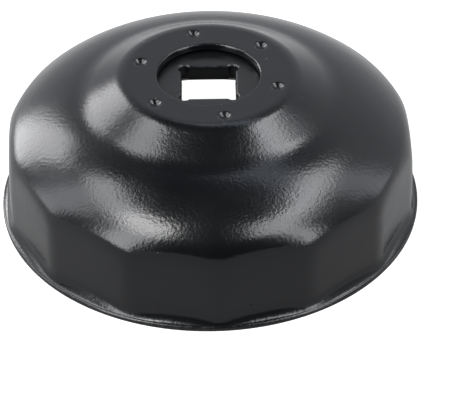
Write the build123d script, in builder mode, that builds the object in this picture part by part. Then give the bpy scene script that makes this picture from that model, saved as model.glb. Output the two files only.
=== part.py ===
from build123d import *

import os
from math import cos, pi

# A cup-type oil filter wrench: a pressed sheet-steel cup whose skirt is pushed into flats,
# with a flared rim, and a thick drive plate welded under the hub at the middle of its top.
# Sizes are in millimetres. The origin is the centre of the rim's bottom plane, and +Z runs
# up the drive axis, so the cup stands on Z = 0 with its open side down. -Y is the front.

os.makedirs("parts", exist_ok=True)

# Cup: the sheet and the flats
sheet = 1.4  # thickness of the steel
socket_across_flats = 71.0  # inside the skirt, which is the size of filter it takes
flat_count = 14
crease_radius = 4.4  # inside radius of the bend between two flats
first_crease_angle = -88.0  # degrees about Z from +X

# Cup: the pressed form, measured on its outside
overall_height = 28.4  # rim to hub top
hub_hole_diameter = 18.6
hub_hole_rounding = 0.6
weld_ring_margin = 3.7  # from the hole's wall out to the weld circle
hub_edge_margin = 2.9  # from the weld circle out to the hub's edge, if sharp
hub_edge_rounding = 4.5
hub_step = 4.4  # from the hub's top down to its foot
flank_run = 7.1  # from the hub's edge out to its foot, if both were sharp
hub_foot_rounding = 11.0
dome_radius = 25.7
dome_drop = 8.9  # from the hub's foot down to where the dome would meet the skirt
shoulder_radius = 7.9

# Cup: the flared rim
flare_radius = 1.3  # outside radius of the bend from the flats to the flange
flange_flat = 0.35  # flat rest of the flange, past the bend
flange_thickness = 1.1  # height of the trimmed edge
rim_edge_rounding = 0.25

# Drive plate: a square hole for a 3/8 inch drive
drive_nominal = 9.53
drive_clearance = 0.27
corner_relief_radius = 0.95
corner_relief_inset = 0.55  # from the sides of the square to the relief's centre
plate_thickness = 3.0
plate_gap = 0.4  # between the cup and the plate, held open by the weld projections
plate_margin = 1.0  # plate left outside the weld spots
plate_chamfer = 0.3

# Welds: each is a dimple in the hub's top, a projection below it and a nugget of weld
weld_count = 6
first_weld_angle = 42.0  # degrees about Z from +X
dimple_diameter = 2.4
dimple_depth = 0.7
dimple_taper = 35.0  # degrees that the dimple's wall leans in
projection_diameter = 3.0
projection_height = 0.2
nugget_margin = 0.15  # how far the nugget's edge stays inside the projection's end

# What follows from these sizes
flats_radius = socket_across_flats / 2 + sheet  # outside, to the middle of a flat
corner_radius = flats_radius / cos(pi / flat_count)  # outside, to a sharp corner
weld_radius = hub_hole_diameter / 2 + weld_ring_margin  # of the circle that the welds lie on
hub_radius = weld_radius + hub_edge_margin
foot_radius = hub_radius + flank_run
foot_height = overall_height - hub_step
skirt_height = foot_height - dome_drop
bend_centre = flats_radius + flare_radius  # distance from the axis
bend_height = flange_thickness + flare_radius
rim_radius = bend_centre + flange_flat
underside_height = overall_height - sheet  # the hub's inner face
plate_top = underside_height - plate_gap
plate_radius = weld_radius + projection_diameter / 2 + plate_margin
drive_square = drive_nominal + drive_clearance
relief_spacing = drive_square - 2 * corner_relief_inset
nugget_radius = projection_diameter / 2 - nugget_margin
nugget_height = plate_gap - projection_height


def half_section(axis_side, floor):
    """Half of the pressed form's section, from X = axis_side out, closed at the floor height."""
    with BuildSketch(Plane.XZ) as section:
        with BuildLine():
            top = Line((axis_side, overall_height), (hub_radius, overall_height))
            flank = Line(top @ 1, (foot_radius, foot_height))
            dome = RadiusArc(flank @ 1, (corner_radius, skirt_height), dome_radius)
            skirt = Line(dome @ 1, (corner_radius, floor))
            Polyline(skirt @ 1, (axis_side, floor), top @ 0)
        make_face()
        hub_edge = section.vertices().group_by(Axis.Y)[-1].sort_by(Axis.X)[-1]
        fillet(hub_edge, hub_edge_rounding)
        # the levels below stay in order: floor, shoulder, foot
        fillet(section.vertices().group_by(Axis.Y)[2], hub_foot_rounding)
        fillet(section.vertices().group_by(Axis.Y)[1], shoulder_radius)
    return section.sketch


def flats(across_flats, radius, floor):
    """The skirt's outline with rounded creases, at the floor height."""
    with BuildSketch(Plane.XY.offset(floor)) as outline:
        RegularPolygon(across_flats / 2, flat_count, major_radius=False, rotation=first_crease_angle)
        fillet(outline.vertices(), radius)
    return outline.sketch


# Inside of the cup: the form pressed in by the sheet's thickness, run out past the rim plane
with BuildPart() as cavity:
    with BuildSketch(Plane.XZ):
        add(half_section(-sheet, -2 * sheet))
        offset(amount=-sheet, kind=Kind.INTERSECTION, mode=Mode.REPLACE)
    revolve(axis=Axis.Z)
    add(flats(socket_across_flats, crease_radius, -sheet))
    extrude(amount=overall_height, mode=Mode.INTERSECT)
    with BuildSketch(Plane.XZ):
        with Locations((0, bend_height)):
            Rectangle(bend_centre, bend_height + sheet, align=(Align.MIN, Align.MAX))
        with Locations((bend_centre, bend_height)):
            Circle(flare_radius + sheet, mode=Mode.SUBTRACT)
    revolve(axis=Axis.Z)

# Cup shell
with BuildPart() as cup_shell:
    add(half_section(0, 0))
    revolve(axis=Axis.Z)
    add(flats(socket_across_flats + 2 * sheet, crease_radius + sheet, 0))
    extrude(amount=overall_height, mode=Mode.INTERSECT)

    # the bend and the flange that stand out from the flats
    with BuildSketch(Plane.XZ) as flare_section:
        with Locations((bend_centre, 0)):
            Rectangle(flare_radius + sheet / 2, bend_height, align=(Align.MAX, Align.MIN))
        with Locations((bend_centre, bend_height)):
            Circle(flare_radius, mode=Mode.SUBTRACT)
        with Locations((bend_centre, 0)):
            Rectangle(flange_flat, flange_thickness, align=(Align.MIN, Align.MIN))
        fillet(flare_section.vertices().group_by(Axis.X)[-1], rim_edge_rounding)
    revolve(axis=Axis.Z)
    add(cavity.part, mode=Mode.SUBTRACT)

    # the hole that the drive reaches through, its upper edge rounded over
    with BuildSketch(Plane.XY.offset(overall_height)):
        Circle(hub_hole_diameter / 2)
    extrude(amount=-2 * sheet, mode=Mode.SUBTRACT)
    hub_top = cup_shell.faces().filter_by(Axis.Z).sort_by(Axis.Z)[-1]
    fillet(hub_top.edges().sort_by(SortBy.RADIUS)[0], hub_hole_rounding)

    # weld projections below the hub, and the dimples above them
    with BuildSketch(Plane.XY.offset(underside_height)):
        with PolarLocations(weld_radius, weld_count, start_angle=first_weld_angle):
            Circle(projection_diameter / 2)
    extrude(amount=-projection_height)
    with BuildSketch(Plane.XY.offset(overall_height)):
        with PolarLocations(weld_radius, weld_count, start_angle=first_weld_angle):
            Circle(dimple_diameter / 2)
    extrude(amount=-dimple_depth, taper=dimple_taper, mode=Mode.SUBTRACT)
cup_shell.part.label = "cup_shell"
export_step(cup_shell.part, "parts/cup_shell.step")

# Drive plate
with BuildPart() as drive_plate:
    with BuildSketch(Plane.XY.offset(plate_top)):
        Circle(plate_radius)
        Rectangle(drive_square, drive_square, mode=Mode.SUBTRACT)
        with GridLocations(relief_spacing, relief_spacing, 2, 2):
            Circle(corner_relief_radius, mode=Mode.SUBTRACT)
    extrude(amount=-plate_thickness)
    plate_rims = drive_plate.edges().filter_by(GeomType.CIRCLE).group_by(SortBy.RADIUS)[-1]
    chamfer(plate_rims, plate_chamfer)
drive_plate.part.label = "drive_plate"
export_step(drive_plate.part, "parts/drive_plate.step")

# Weld nuggets, from the plate's top up to the projections' ends
with BuildPart() as weld_nuggets:
    with BuildSketch(Plane.XY.offset(plate_top)):
        with PolarLocations(weld_radius, weld_count, start_angle=first_weld_angle):
            Circle(nugget_radius)
    extrude(amount=nugget_height)
weld_nuggets.part.label = "weld_nuggets"
export_step(weld_nuggets.part, "parts/weld_nuggets.step")

print("rim diameter", round(2 * rim_radius, 2), "height", overall_height)
print("plate diameter", round(2 * plate_radius, 2), "drive square", round(drive_square, 2))
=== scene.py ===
from math import atan2, cos, pi, radians, sin, sqrt, tau

import bpy
import numpy as np
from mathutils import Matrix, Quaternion, Vector


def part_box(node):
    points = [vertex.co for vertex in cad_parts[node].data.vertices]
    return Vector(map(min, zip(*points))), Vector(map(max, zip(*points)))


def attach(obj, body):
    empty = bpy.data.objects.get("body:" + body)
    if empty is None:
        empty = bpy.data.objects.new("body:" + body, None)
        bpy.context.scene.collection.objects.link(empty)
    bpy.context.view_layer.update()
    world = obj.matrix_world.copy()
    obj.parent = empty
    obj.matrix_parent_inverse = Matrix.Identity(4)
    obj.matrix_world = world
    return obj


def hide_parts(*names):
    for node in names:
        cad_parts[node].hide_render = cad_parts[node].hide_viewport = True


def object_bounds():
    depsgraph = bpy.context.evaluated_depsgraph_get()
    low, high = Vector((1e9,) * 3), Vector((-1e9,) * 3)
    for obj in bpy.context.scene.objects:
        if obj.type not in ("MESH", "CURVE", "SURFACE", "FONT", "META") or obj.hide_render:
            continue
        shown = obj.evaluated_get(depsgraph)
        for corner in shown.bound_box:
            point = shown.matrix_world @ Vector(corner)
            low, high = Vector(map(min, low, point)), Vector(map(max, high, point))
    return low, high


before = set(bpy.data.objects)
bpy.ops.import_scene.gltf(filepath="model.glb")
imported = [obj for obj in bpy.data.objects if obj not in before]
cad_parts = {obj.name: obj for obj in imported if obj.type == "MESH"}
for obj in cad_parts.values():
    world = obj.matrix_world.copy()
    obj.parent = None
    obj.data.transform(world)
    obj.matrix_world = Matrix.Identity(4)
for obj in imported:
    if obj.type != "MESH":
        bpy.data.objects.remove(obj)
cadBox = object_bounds()
mm = 0.001  # sizes below are in millimetres, and every mesh is in metres
height = cadBox[1][2] / mm
rimRadius = cadBox[1][0] / mm
plateBottom, plateTop = (corner.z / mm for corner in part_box("drive_plate"))
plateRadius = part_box("drive_plate")[1].x / mm
print("frame loaded:", sorted(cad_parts))


def addMesh(name, points, edge):
    # a closed surface from a grid of points: rows run along a closed profile, columns round the axis
    rows, cols = points.shape[:2]
    i, j = np.arange(rows)[:, None], np.arange(cols)[None, :]
    nextRow, nextCol = (i + 1) % rows, (j + 1) % cols
    corners = [i * cols + j, nextRow * cols + j, nextRow * cols + nextCol, i * cols + nextCol]
    mesh = bpy.data.meshes.new(name)
    spots = (points.reshape(-1, 3) * mm).tolist()
    mesh.from_pydata(spots, [], np.stack(corners, -1).reshape(-1, 4).tolist())
    mesh.shade_smooth()
    # how near each point is to a trimmed or punched edge, for the finish
    near = mesh.attributes.new("edge", "FLOAT", "POINT")
    near.data.foreach_set("value", (edge * np.ones((1, cols))).ravel().astype(np.float32))
    mesh.update()
    piece = bpy.data.objects.new(name, mesh)
    bpy.context.scene.collection.objects.link(piece)
    print(name + ":", len(mesh.polygons), "faces")
    return piece


def smoothMin(a, b, width):
    # the smaller of two values, rounded where they meet:
    # their mean less half the root of the gap squared plus the width squared
    return (a + b) / 2 - np.sqrt((a - b) ** 2 + width**2) / 2


def arc(centre, radius, start, stop, count):
    # points on a circle between two angles in degrees, each a distance from the axis and a height
    turn = np.radians(np.linspace(start, stop, count))
    return np.stack([centre[0] + radius * np.cos(turn), centre[1] + radius * np.sin(turn)], -1)


def respace(path, spacing):
    # the same path with new points, as close as the spacing asks for at each distance from the axis
    at, gaps = np.array(spacing).T
    steps = np.hypot(*np.diff(path, axis=0).T)
    wanted = np.interp((path[1:, 0] + path[:-1, 0]) / 2, at, gaps)
    along = np.concatenate([[0], np.cumsum(steps)])
    count = np.concatenate([[0], np.cumsum(steps / wanted)])
    new = np.interp(np.linspace(0, count[-1], int(round(count[-1])) + 1), count, along)
    return np.stack([np.interp(new, along, path[:, 0]), np.interp(new, along, path[:, 1])], -1)


# The cup: one pressed sheet, round at the hub and the rim, with flats between them
cup = {
    "sheet": 1.4,
    "flatCount": 14,
    "acrossFlats": 71.0,  # inside
    "creaseRadius": 4.4,  # inside
    "firstCrease": -88.0,  # degrees about the axis from +X
    "holeRadius": 9.3,
    "holeRounding": 0.4,
    "holeUnderRounding": 0.25,
    "hubRadius": 15.9,  # where the flat top and the flank would meet
    "hubRounding": 4.5,
    "hubStep": 4.4,
    "flankRun": 7.1,
    "footRounding": 11.0,
    "domeRadius": 25.7,
    "domeDrop": 8.9,
    "shoulderRadius": 7.9,
    "roundUpTo": 31.0,  # the dome is truly round inside this distance from the axis
    "shoulderSoftness": 0.65,  # of the line where the dome runs into a flat
    "wallSoftness": 0.3,  # the same, further down the wall
    "softDrop": 5.0,  # over how far down the one fades to the other
    "flareHeight": 3.6,  # where the skirt starts to turn outwards
    "flarePart": 0.94,  # of a quarter ellipse, so that the flare ends a little short of level
    "flangeThickness": 1.1,
    "rimRounding": 0.42,
    "dimpleCount": 6,
    "firstDimple": 42.0,
    "dimpleCircle": 13.0,
    "dimpleRadius": 1.3,
    "dimpleDepth": 0.62,
    "pimpleRadius": 1.5,  # on the underside, below each dimple
    "pimpleHeight": 0.2,
    "pimpleSlope": 0.35,
    "columns": 392,
    # gaps between rows: distance from the axis, then the gap there, on the outside and the inside
    "outsideGaps": [(9, 0.17), (14.5, 0.17), (18, 0.3), (26, 0.55), (33, 0.35), (38, 0.28)],
    "insideGaps": [(9, 0.25), (14.6, 0.25), (16, 0.6), (26, 0.9), (33, 0.5), (38, 0.4)],
}
around = np.arange(cup["columns"]) * tau / cup["columns"]


def pressedArcs():
    # tangent arcs down the outside of the form:
    # centre, radius, end angles, and 1 for a bulge or -1 for a hollow
    c = cup
    corner = (c["acrossFlats"] / 2 + c["sheet"]) / cos(pi / c["flatCount"])
    edge = Vector((c["hubRadius"], height))
    foot = edge + Vector((c["flankRun"], -c["hubStep"]))
    wallTop = Vector((corner, foot.y - c["domeDrop"]))
    # the dome's circle passes through the foot and the wall top, with its centre inside
    chord = wallTop - foot
    inward = Vector((chord.y, -chord.x)).normalized()
    dome = (foot + wallTop) / 2 + inward * sqrt(c["domeRadius"] ** 2 - chord.length_squared / 4)
    # the hub's edge touches the level top and the flank
    slope = atan2(c["hubStep"], c["flankRun"])
    hub = Vector((edge.x - c["hubRounding"] * sin(slope / 2) / cos(slope / 2), height - c["hubRounding"]))
    # the foot's centre lies its own radius off the flank, and both radii from the dome's centre
    start = edge + Vector((sin(slope), cos(slope))) * c["footRounding"] - dome
    down = Vector((cos(slope), -sin(slope)))
    b = start.dot(down)
    reach = -b - sqrt(b * b - start.length_squared + (c["domeRadius"] + c["footRounding"]) ** 2)
    hollow = dome + start + down * reach
    # the shoulder's centre lies its radius inside the wall and inside the dome's circle
    x = corner - c["shoulderRadius"]
    rise = sqrt((c["domeRadius"] - c["shoulderRadius"]) ** 2 - (x - dome.x) ** 2)
    shoulder = Vector((x, dome.y + rise))
    slopeTurn = np.degrees(slope)
    toFoot = np.degrees(atan2(hollow.y - dome.y, hollow.x - dome.x))
    toShoulder = np.degrees(atan2(rise, x - dome.x))
    return [
        (hub, c["hubRounding"], 90, 90 - slopeTurn, 1),
        (hollow, c["footRounding"], 270 - slopeTurn, 180 + toFoot, -1),
        (dome, c["domeRadius"], toFoot, toShoulder, 1),
        (shoulder, c["shoulderRadius"], toShoulder, 0, 1),
    ]


def flatsDistance(across, rounding):
    # distance from the axis to the flats with rounded creases, in each column's direction
    n = cup["flatCount"]
    turn = (np.degrees(around) - cup["firstCrease"]) % (360 / n)
    fromCrease = np.radians(np.minimum(turn, 360 / n - turn))
    straight = across / 2 / np.cos(pi / n - fromCrease)
    centre = (across / 2 - rounding) / cos(pi / n)
    inside = np.maximum(rounding**2 - (centre * np.sin(fromCrease)) ** 2, 0)
    bent = centre * np.cos(fromCrease) + np.sqrt(inside)
    touch = (across / 2 - rounding) * np.tan(pi / n)
    return np.where(across / 2 * np.tan(pi / n - fromCrease) < touch, straight, bent)


def cupSide(inset, start, low, spacing):
    # one side of the sheet from the hub down to the rim: the smaller of dome and flats, then a flare that
    # carries each direction out to the rim along part of an ellipse, by one less the root of one less the
    # drop squared
    c = cup
    arcs = [arc(centre, r - bulge * inset, a, b, 80) for centre, r, a, b, bulge in pressedArcs()]
    form = respace(np.concatenate([[start]] + arcs), spacing)
    wall = np.linspace(form[-1, 1], c["flareHeight"], 10)[1:]
    flare = c["flareHeight"] - (c["flareHeight"] - low) * np.sin(np.linspace(0, pi / 2, 15))[1:]
    z = np.concatenate([form[:, 1], wall, flare])[:, None]
    round_ = np.concatenate([form[:, 0], np.full(len(wall) + len(flare), form[-1, 0])])[:, None]
    outset = c["sheet"] - inset
    flats = flatsDistance(c["acrossFlats"] + 2 * outset, c["creaseRadius"] + outset)
    fade = np.clip((form[-1, 1] + c["softDrop"] / 2 - z) / c["softDrop"], 0, 1)
    softness = c["shoulderSoftness"] + (c["wallSoftness"] - c["shoulderSoftness"]) * fade
    softness = softness * np.clip((round_ - c["roundUpTo"]) / 3, 0, 1)
    r = np.where(round_ > c["roundUpTo"], smoothMin(round_, flats[None, :], softness), round_)
    drop = np.clip((c["flareHeight"] - z) / (c["flareHeight"] - low), 0, 1)
    edge = rimRadius - c["rimRounding"]
    part = c["flarePart"]
    out = (1 - np.sqrt(1 - (part * drop) ** 2)) / (1 - sqrt(1 - part**2))
    return r + (edge - r) * out, z + 0 * r


def fromWeld(x, y):
    # distance in plan from the nearest weld's centre
    step = radians(360 / cup["dimpleCount"])
    turn = np.arctan2(y, x) - radians(cup["firstDimple"])
    near = (turn + step / 2) % step - step / 2
    r = np.hypot(x, y)
    return np.hypot(r * np.cos(near) - cup["dimpleCircle"], r * np.sin(near))


def buildCup():
    c = cup
    e, u = c["holeRounding"], c["holeUnderRounding"]
    outR, outZ = cupSide(0, (c["holeRadius"] + e, height), c["flangeThickness"], c["outsideGaps"])
    underside = height - c["sheet"]
    inR, inZ = cupSide(c["sheet"], (c["holeRadius"] + u, underside), 0, c["insideGaps"])
    holeTop = arc((c["holeRadius"] + e, height - e), e, 180, 90, 9)[:-1]
    holeLow = arc((c["holeRadius"] + u, underside + u), u, 270, 180, 5)[1:]
    k = c["rimRounding"]
    rimTop = arc((rimRadius - k, c["flangeThickness"] - k), k, 90, 0, 6)[1:]
    rimLow = arc((rimRadius - k, k), k, 0, -90, 6)[:-1]
    ones = np.ones((1, c["columns"]))
    rings = [holeTop, None, rimTop, rimLow, None, holeLow]
    rows = [(p[:, :1] * ones, p[:, 1:] * ones) if p is not None else None for p in rings]
    rows[1], rows[4] = (outR, outZ), (inR[::-1], inZ[::-1])
    r = np.concatenate([row[0] for row in rows])
    z = np.concatenate([row[1] for row in rows])
    x, y = r * np.cos(around), r * np.sin(around)
    # each weld: a bowl pressed into the top, by the square of one less distance squared, and a pimple below
    away = fromWeld(x, y)
    bowl = np.clip(1 - (away / c["dimpleRadius"]) ** 2, 0, 1) ** 1.5
    onTop = (z > height - 0.02) & (r > c["holeRadius"] + e)
    z = np.where(onTop, z - c["dimpleDepth"] * bowl, z)
    pimple = np.clip((c["pimpleRadius"] - away) / c["pimpleSlope"], 0, 1)
    below = (np.abs(z - underside) < 0.02) & (r > c["holeRadius"] + u)
    z = np.where(below, z - c["pimpleHeight"] * pimple * pimple * (3 - 2 * pimple), z)
    onEdge = [1.0 if row is rows[2] or row is rows[3] else 0.0 for row in rows]
    edge = np.concatenate([np.full((len(row[0]), 1), value) for row, value in zip(rows, onEdge)])
    return addMesh("cup", np.stack([x, y, z], -1), edge)


# The drive plate: a thick punched disc with a square hole that has a round cut in each corner
plate = {
    "driveSquare": 9.8,
    "reliefRadius": 0.95,  # of the round cuts
    "reliefInset": 0.55,  # of their centres from the sides of the square
    "rolledEdge": 0.5,  # round the top of the square, where the punch went in
    "tornHeight": 0.7,  # of the rough lip round the bottom of the square
    "tornDepth": 0.12,
    "edgeRounding": 0.35,
    "sideSteps": 30,
    "reliefSteps": 18,
    "tornSteps": 5,
    "wallSteps": 5,
    "rollSteps": 8,
}


def squareOutline(grow):
    # the square's side at half its width plus the growth, then the relief's circle,
    # turned to all four corners
    p = plate
    centre = p["driveSquare"] / 2 - p["reliefInset"]
    half, radius = p["driveSquare"] / 2 + grow, p["reliefRadius"] + grow
    cut = sqrt(radius**2 - (half - centre) ** 2)
    side = (centre - cut) * np.sin(np.linspace(-pi / 2, pi / 2, p["sideSteps"]))
    open_ = atan2(cut, half - centre)
    turn = np.linspace(-open_, pi / 2 + open_, p["reliefSteps"] + 2)[1:-1]
    x = np.concatenate([np.full(len(side), half), centre + radius * np.cos(turn)])
    y = np.concatenate([side, centre + radius * np.sin(turn)])
    quarters = [(x, y), (-y, x), (-x, -y), (y, -x)]
    return np.concatenate([np.stack(q, -1) for q in quarters])


def buildPlate():
    p = plate
    e, k, torn = p["rolledEdge"], p["edgeRounding"], p["tornHeight"]
    spread = squareOutline(e)
    turn = np.arctan2(spread[:, 1], spread[:, 0])
    rim = np.stack([np.cos(turn), np.sin(turn)], -1)
    # how far each direction is along a side, for the torn lip: none at the middle, all near the corners
    square = squareOutline(0)
    offSide = np.minimum(np.abs(square[:, :1]), np.abs(square[:, 1:])) / (p["driveSquare"] / 2)
    rings = []
    for part in np.linspace(0, 1, p["tornSteps"]):
        lip = p["tornDepth"] * (0.25 + 0.75 * offSide**2) * (1 - part) * (1 - 0.3 * (1 - part))
        rings.append((square * (1 - lip / np.hypot(*square.T)[:, None]), plateBottom + torn * part))
    for z in np.linspace(plateBottom + torn, plateTop - e, p["wallSteps"] + 1)[1:]:
        rings.append((square, z))
    for a in np.radians(np.linspace(0, 90, p["rollSteps"] + 1)[1:]):
        rings.append((squareOutline(e * (1 - cos(a))), plateTop - e + e * sin(a)))
    for part in (0.15, 0.4, 0.7, 1):
        rings.append((spread * (1 - part) + rim * (plateRadius - k) * part, plateTop))
    for a in np.radians(np.linspace(90, 0, 5)[1:]):
        rings.append((rim * (plateRadius - k + k * cos(a)), plateTop - k + k * sin(a)))
    for a in np.radians(np.linspace(0, -90, 5)):
        rings.append((rim * (plateRadius - k + k * cos(a)), plateBottom + k + k * sin(a)))
    lower = rings[0][0]
    for part in (0.7, 0.4, 0.15):
        rings.append((lower * (1 - part) + rim * (plateRadius - k) * part, plateBottom))
    points = [np.concatenate([xy, np.full((len(xy), 1), z)], 1) for xy, z in rings]
    # the film is thin on the rolled edge, between its first and last rings
    edge = np.zeros((len(rings), 1))
    firstRoll = p["tornSteps"] + p["wallSteps"]
    edge[firstRoll + 1 : firstRoll + p["rollSteps"] - 1] = 1
    return addMesh("drivePlate", np.stack(points), edge)


cupPiece = buildCup()
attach(cupPiece, "root")
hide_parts("cup_shell")
platePiece = buildPlate()
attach(platePiece, "root")
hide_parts("drive_plate")


# The finishes: a gloss powder coat with orange peel, slow waves, stray nibs, and a thinner film on the edges
coats = {
    "cupCoat": {
        "gloss": 0.2,  # the roughness
        "peel": 1.0,  # share of the film's orange peel
        "colour": (0.0024, 0.0026, 0.0030),
        "edgeColour": (0.006, 0.006, 0.0065),
    },
    "plateCoat": {
        "gloss": 0.30,
        "peel": 0.6,
        "colour": (0.0026, 0.0028, 0.0031),
        "edgeColour": (0.006, 0.006, 0.0065),
    },
    "weldCoat": {"gloss": 0.36, "peel": 1.6, "colour": (0.0030, 0.0030, 0.0032)},
}
film = {
    "peelSize": 0.56,  # of the orange peel's cells
    "peelHeight": 0.032,
    "waveSize": 5.0,
    "waveHeight": 0.03,
    "nibSpacing": 3.2,
    "nibRadius": 0.22,
    "nibShare": 0.35,  # of the places where a nib could be
    "nibTop": 0.35,  # share of its radius that is at full height
    "nibHeight": 0.11,
    "smudgeSize": 9.0,  # of slow changes of gloss
    "smudgeRange": (-0.025, 0.035),  # of roughness
    "grainSize": 0.35,  # of the finest changes of gloss
    "grainRange": (-0.015, 0.015),
    "noiseSpan": (0.3, 0.7),  # the part of a noise that is used for gloss
    "wearSize": 1.6,  # of the patches where the film is thin on the edges
    "wearSpan": (0.42, 0.62),
    "wornDulling": 0.12,  # added to the roughness there
    "refraction": 1.4,
}


def powderCoat(name):
    coat = coats[name]
    material = bpy.data.materials.new(name)
    material.use_nodes = True
    nodes, links = material.node_tree.nodes, material.node_tree.links
    shader = nodes["Principled BSDF"]
    spot = nodes.new("ShaderNodeTexCoord").outputs["Object"]

    def noise(size, detail, distortion=0.0):
        made = nodes.new("ShaderNodeTexNoise")
        links.new(spot, made.inputs["Vector"])
        made.inputs["Scale"].default_value = 1 / (size * mm)
        made.inputs["Detail"].default_value = detail
        made.inputs["Distortion"].default_value = distortion
        return made.outputs["Fac"]

    def span(value, low, high, toLow, toHigh):
        made = nodes.new("ShaderNodeMapRange")
        links.new(value, made.inputs["Value"])
        for socket, number in zip(("From Min", "From Max", "To Min", "To Max"), (low, high, toLow, toHigh)):
            made.inputs[socket].default_value = number
        return made.outputs["Result"]

    def combine(operation, a, b):
        made = nodes.new("ShaderNodeMath")
        made.operation = operation
        for socket, value in zip(made.inputs, (a, b)):
            if isinstance(value, (int, float)):
                socket.default_value = value
            else:
                links.new(value, socket)
        return made.outputs[0]

    def bump(height, distance, onto=None):
        made = nodes.new("ShaderNodeBump")
        made.inputs["Strength"].default_value = 1
        made.inputs["Distance"].default_value = distance * mm
        links.new(height, made.inputs["Height"])
        if onto:
            links.new(onto, made.inputs["Normal"])
        return made.outputs["Normal"]

    # nibs: round specks at some of the scattered points, told apart by the points' own random colour
    points = nodes.new("ShaderNodeTexVoronoi")
    links.new(spot, points.inputs["Vector"])
    points.inputs["Scale"].default_value = 1 / (film["nibSpacing"] * mm)
    nibEdge = film["nibRadius"] / film["nibSpacing"]
    speck = span(points.outputs["Distance"], nibEdge, nibEdge * film["nibTop"], 0, 1)
    chosen = nodes.new("ShaderNodeSeparateColor")
    links.new(points.outputs["Color"], chosen.inputs[0])
    nib = combine("MULTIPLY", speck, combine("LESS_THAN", chosen.outputs["Red"], film["nibShare"]))

    waves = bump(noise(film["waveSize"], 1), film["waveHeight"])
    peel = bump(noise(film["peelSize"], 1.5, 0.4), film["peelHeight"] * coat["peel"], waves)
    links.new(bump(nib, film["nibHeight"], peel), shader.inputs["Normal"])

    glossRange = [coat["gloss"] + change for change in film["smudgeRange"]]
    smudge = span(noise(film["smudgeSize"], 4), *film["noiseSpan"], *glossRange)
    fine = span(noise(film["grainSize"], 2), *film["noiseSpan"], *film["grainRange"])
    dull = combine("ADD", smudge, fine)
    if "edgeColour" in coat:
        # the film is thin and duller on the edges, more in some places than others
        edge = nodes.new("ShaderNodeAttribute")
        edge.attribute_name = "edge"
        patches = span(noise(film["wearSize"], 3), *film["wearSpan"], 0, 1)
        worn = combine("MULTIPLY", edge.outputs["Fac"], patches)
        colour = nodes.new("ShaderNodeMix")
        colour.data_type = "RGBA"
        colour.inputs["A"].default_value = (*coat["colour"], 1)
        colour.inputs["B"].default_value = (*coat["edgeColour"], 1)
        links.new(worn, colour.inputs["Factor"])
        links.new(colour.outputs["Result"], shader.inputs["Base Color"])
        dull = combine("ADD", dull, combine("MULTIPLY", worn, film["wornDulling"]))
    else:
        shader.inputs["Base Color"].default_value = (*coat["colour"], 1)
    links.new(dull, shader.inputs["Roughness"])
    shader.inputs["IOR"].default_value = film["refraction"]
    return material


cupPiece.data.materials.append(powderCoat("cupCoat"))
platePiece.data.materials.append(powderCoat("plateCoat"))
weldCoat = powderCoat("weldCoat")
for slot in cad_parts["weld_nuggets"].material_slots:
    slot.material = weldCoat
print("finishes made:", sorted(coats))

# The floor: pale paper that is white to the camera and, in reflections, fades towards the dark front
paperLook = {
    "halfWidth": 3,  # metres
    "grey": 0.2,
    "roughness": 0.9,
    "seen": 1.05,  # brightness to the camera
    "reflected": 0.36,  # brightness in reflections, behind the fade
    "fade": (-0.07, 0.0),  # metres from front to back over which it rises from nothing
}


def addFloor():
    p = paperLook
    w = p["halfWidth"]
    mesh = bpy.data.meshes.new("floor")
    mesh.from_pydata([(-w, -w, 0), (w, -w, 0), (w, w, 0), (-w, w, 0)], [], [(0, 1, 2, 3)])
    floor = bpy.data.objects.new("floor", mesh)
    bpy.context.scene.collection.objects.link(floor)
    material = bpy.data.materials.new("paper")
    material.use_nodes = True
    nodes, links = material.node_tree.nodes, material.node_tree.links
    shader = nodes["Principled BSDF"]
    shader.inputs["Base Color"].default_value = (p["grey"], p["grey"], p["grey"], 1)
    shader.inputs["Roughness"].default_value = p["roughness"]
    shader.inputs["Emission Color"].default_value = (1, 1, 1, 1)
    rays = nodes.new("ShaderNodeLightPath")
    glow = nodes.new("ShaderNodeMapRange")
    fade = nodes.new("ShaderNodeMapRange")
    place = nodes.new("ShaderNodeSeparateXYZ")
    links.new(nodes.new("ShaderNodeTexCoord").outputs["Object"], place.inputs[0])
    links.new(place.outputs["Y"], fade.inputs["Value"])
    fade.inputs["From Min"].default_value, fade.inputs["From Max"].default_value = p["fade"]
    fade.inputs["To Min"].default_value = 0
    fade.inputs["To Max"].default_value = p["reflected"]
    links.new(fade.outputs["Result"], glow.inputs["To Min"])
    glow.inputs["To Max"].default_value = p["seen"]
    links.new(rays.outputs["Is Camera Ray"], glow.inputs["Value"])
    links.new(glow.outputs["Result"], shader.inputs["Emission Strength"])
    mesh.materials.append(material)


addFloor()
print("floor made")

# The studio: tall softboxes round the object, some with a brighter head, before a pale wall;
# dark at the front and overhead
studio = {
    "radius": 1.6,  # of the ring of lights, in metres
    "wall": 0.88,  # brightness of the room behind the object
    "gloom": 0.0,  # brightness of the room in front of it
    "behind": (-0.65, 0.2),  # front-to-back part of the direction, from gloom to wall
    "overhead": (0.64, 0.92),  # upward part of the direction, from full brightness to none
    "tint": (0.96, 0.99, 1.05),
}
# direction clockwise from the back and elevation at its middle, width and height, all in degrees; then
# brightness and blueness
softboxes = {
    "frontLeftHead": (-130, 58, 20, 13, 19.0, 0),
    "frontLeft": (-131, 22, 21, 58, 9.9, 0.02),
    "leftHead": (-88, 58, 30, 13, 9.2, 0.02),
    "left": (-86, 24, 20, 56, 4.1, 0.03),
    "backLeft": (-48, 16, 20, 52, 8.4, 0.01),
    "backRightHead": (48, 67, 58, 8, 2.5, 0.12),
    "rightHead": (84, 58, 32, 13, 10.3, 0.01),
    "right": (76, 29, 15, 46, 2.4, 0.05),
    "frontRightHead": (131, 57, 21, 12, 9.4, 0.01),
    "frontRight": (128, 22, 14, 58, 9.0, 0.02),
}


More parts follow.
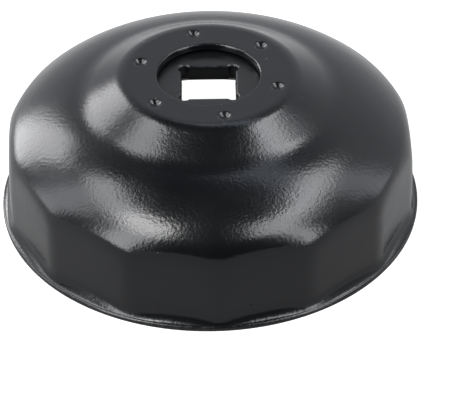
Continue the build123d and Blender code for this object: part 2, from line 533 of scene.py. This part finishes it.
def addSoftbox(name, turn, rise, wide, tall, brightness, blueness):
    # a rectangle facing the object, from the ring of lights
    a, e = radians(turn), radians(rise)
    away = Vector((sin(a) * cos(e), cos(a) * cos(e), sin(e)))
    light = bpy.data.objects.new(name, bpy.data.lights.new(name, "AREA"))
    light.data.shape = "RECTANGLE"
    light.data.size = 2 * studio["radius"] * np.tan(radians(wide / 2))
    light.data.size_y = 2 * studio["radius"] * np.tan(radians(tall / 2))
    light.data.energy = brightness * pi * light.data.size * light.data.size_y
    light.data.color = (1 - blueness, 1 - 0.3 * blueness, 1 + blueness)
    light.location = away * studio["radius"]
    light.rotation_mode = "QUATERNION"
    light.rotation_quaternion = (-away).to_track_quat("-Z", "Y")
    light.visible_camera = False
    bpy.context.scene.collection.objects.link(light)


def addRoom():
    # the world's brightness goes by direction: the wall behind, gloom in front and overhead
    world = bpy.data.worlds.new("room")
    world.use_nodes = True
    nodes, links = world.node_tree.nodes, world.node_tree.links
    spot = nodes.new("ShaderNodeTexCoord")
    parts = nodes.new("ShaderNodeSeparateXYZ")
    links.new(spot.outputs["Generated"], parts.inputs[0])
    behind = nodes.new("ShaderNodeMapRange")
    behind.interpolation_type = "SMOOTHSTEP"
    links.new(parts.outputs["Y"], behind.inputs["Value"])
    behind.inputs["From Min"].default_value, behind.inputs["From Max"].default_value = studio["behind"]
    behind.inputs["To Min"].default_value = studio["gloom"]
    behind.inputs["To Max"].default_value = studio["wall"]
    overhead = nodes.new("ShaderNodeMapRange")
    overhead.interpolation_type = "SMOOTHSTEP"
    links.new(parts.outputs["Z"], overhead.inputs["Value"])
    overhead.inputs["From Min"].default_value, overhead.inputs["From Max"].default_value = studio["overhead"]
    overhead.inputs["To Min"].default_value = 1
    overhead.inputs["To Max"].default_value = 0
    both = nodes.new("ShaderNodeMath")
    both.operation = "MULTIPLY"
    links.new(behind.outputs["Result"], both.inputs[0])
    links.new(overhead.outputs["Result"], both.inputs[1])
    links.new(both.outputs[0], nodes["Background"].inputs["Strength"])
    nodes["Background"].inputs["Color"].default_value = (*studio["tint"], 1)
    bpy.context.scene.world = world


for name, numbers in softboxes.items():
    addSoftbox(name, *numbers)
addRoom()
print("lights made:", len(softboxes))
bpy.context.scene.view_settings.view_transform = "Standard"

shot = {
    "distance": 14,  # of the camera from the point it turns about, in rim radii
    "elevation": 36.96,
    "roll": -0.55,
    "lens": 229.5,
    "lift": 0.3,  # height of that point, in rim radii
    "aimRight": 0.093,
    "aimUp": -0.296,
}


def addCamera():
    s = shot
    unit = rimRadius * mm
    e = radians(s["elevation"])
    back, up = Vector((0, -cos(e), sin(e))), Vector((0, sin(e), cos(e)))
    pivot = Vector((0, 0, s["lift"] * unit))
    camera = bpy.data.objects.new("camera", bpy.data.cameras.new("camera"))
    camera.data.lens = s["lens"]
    camera.data.clip_end = 20
    camera.location = pivot + back * s["distance"] * unit
    aim = pivot + Vector((1, 0, 0)) * s["aimRight"] * unit + up * s["aimUp"] * unit
    facing = (aim - camera.location).to_track_quat("-Z", "Y")
    camera.rotation_mode = "QUATERNION"
    camera.rotation_quaternion = facing @ Quaternion((0, 0, 1), radians(s["roll"]))
    bpy.context.scene.collection.objects.link(camera)
    bpy.context.scene.camera = camera


addCamera()
print("camera made")
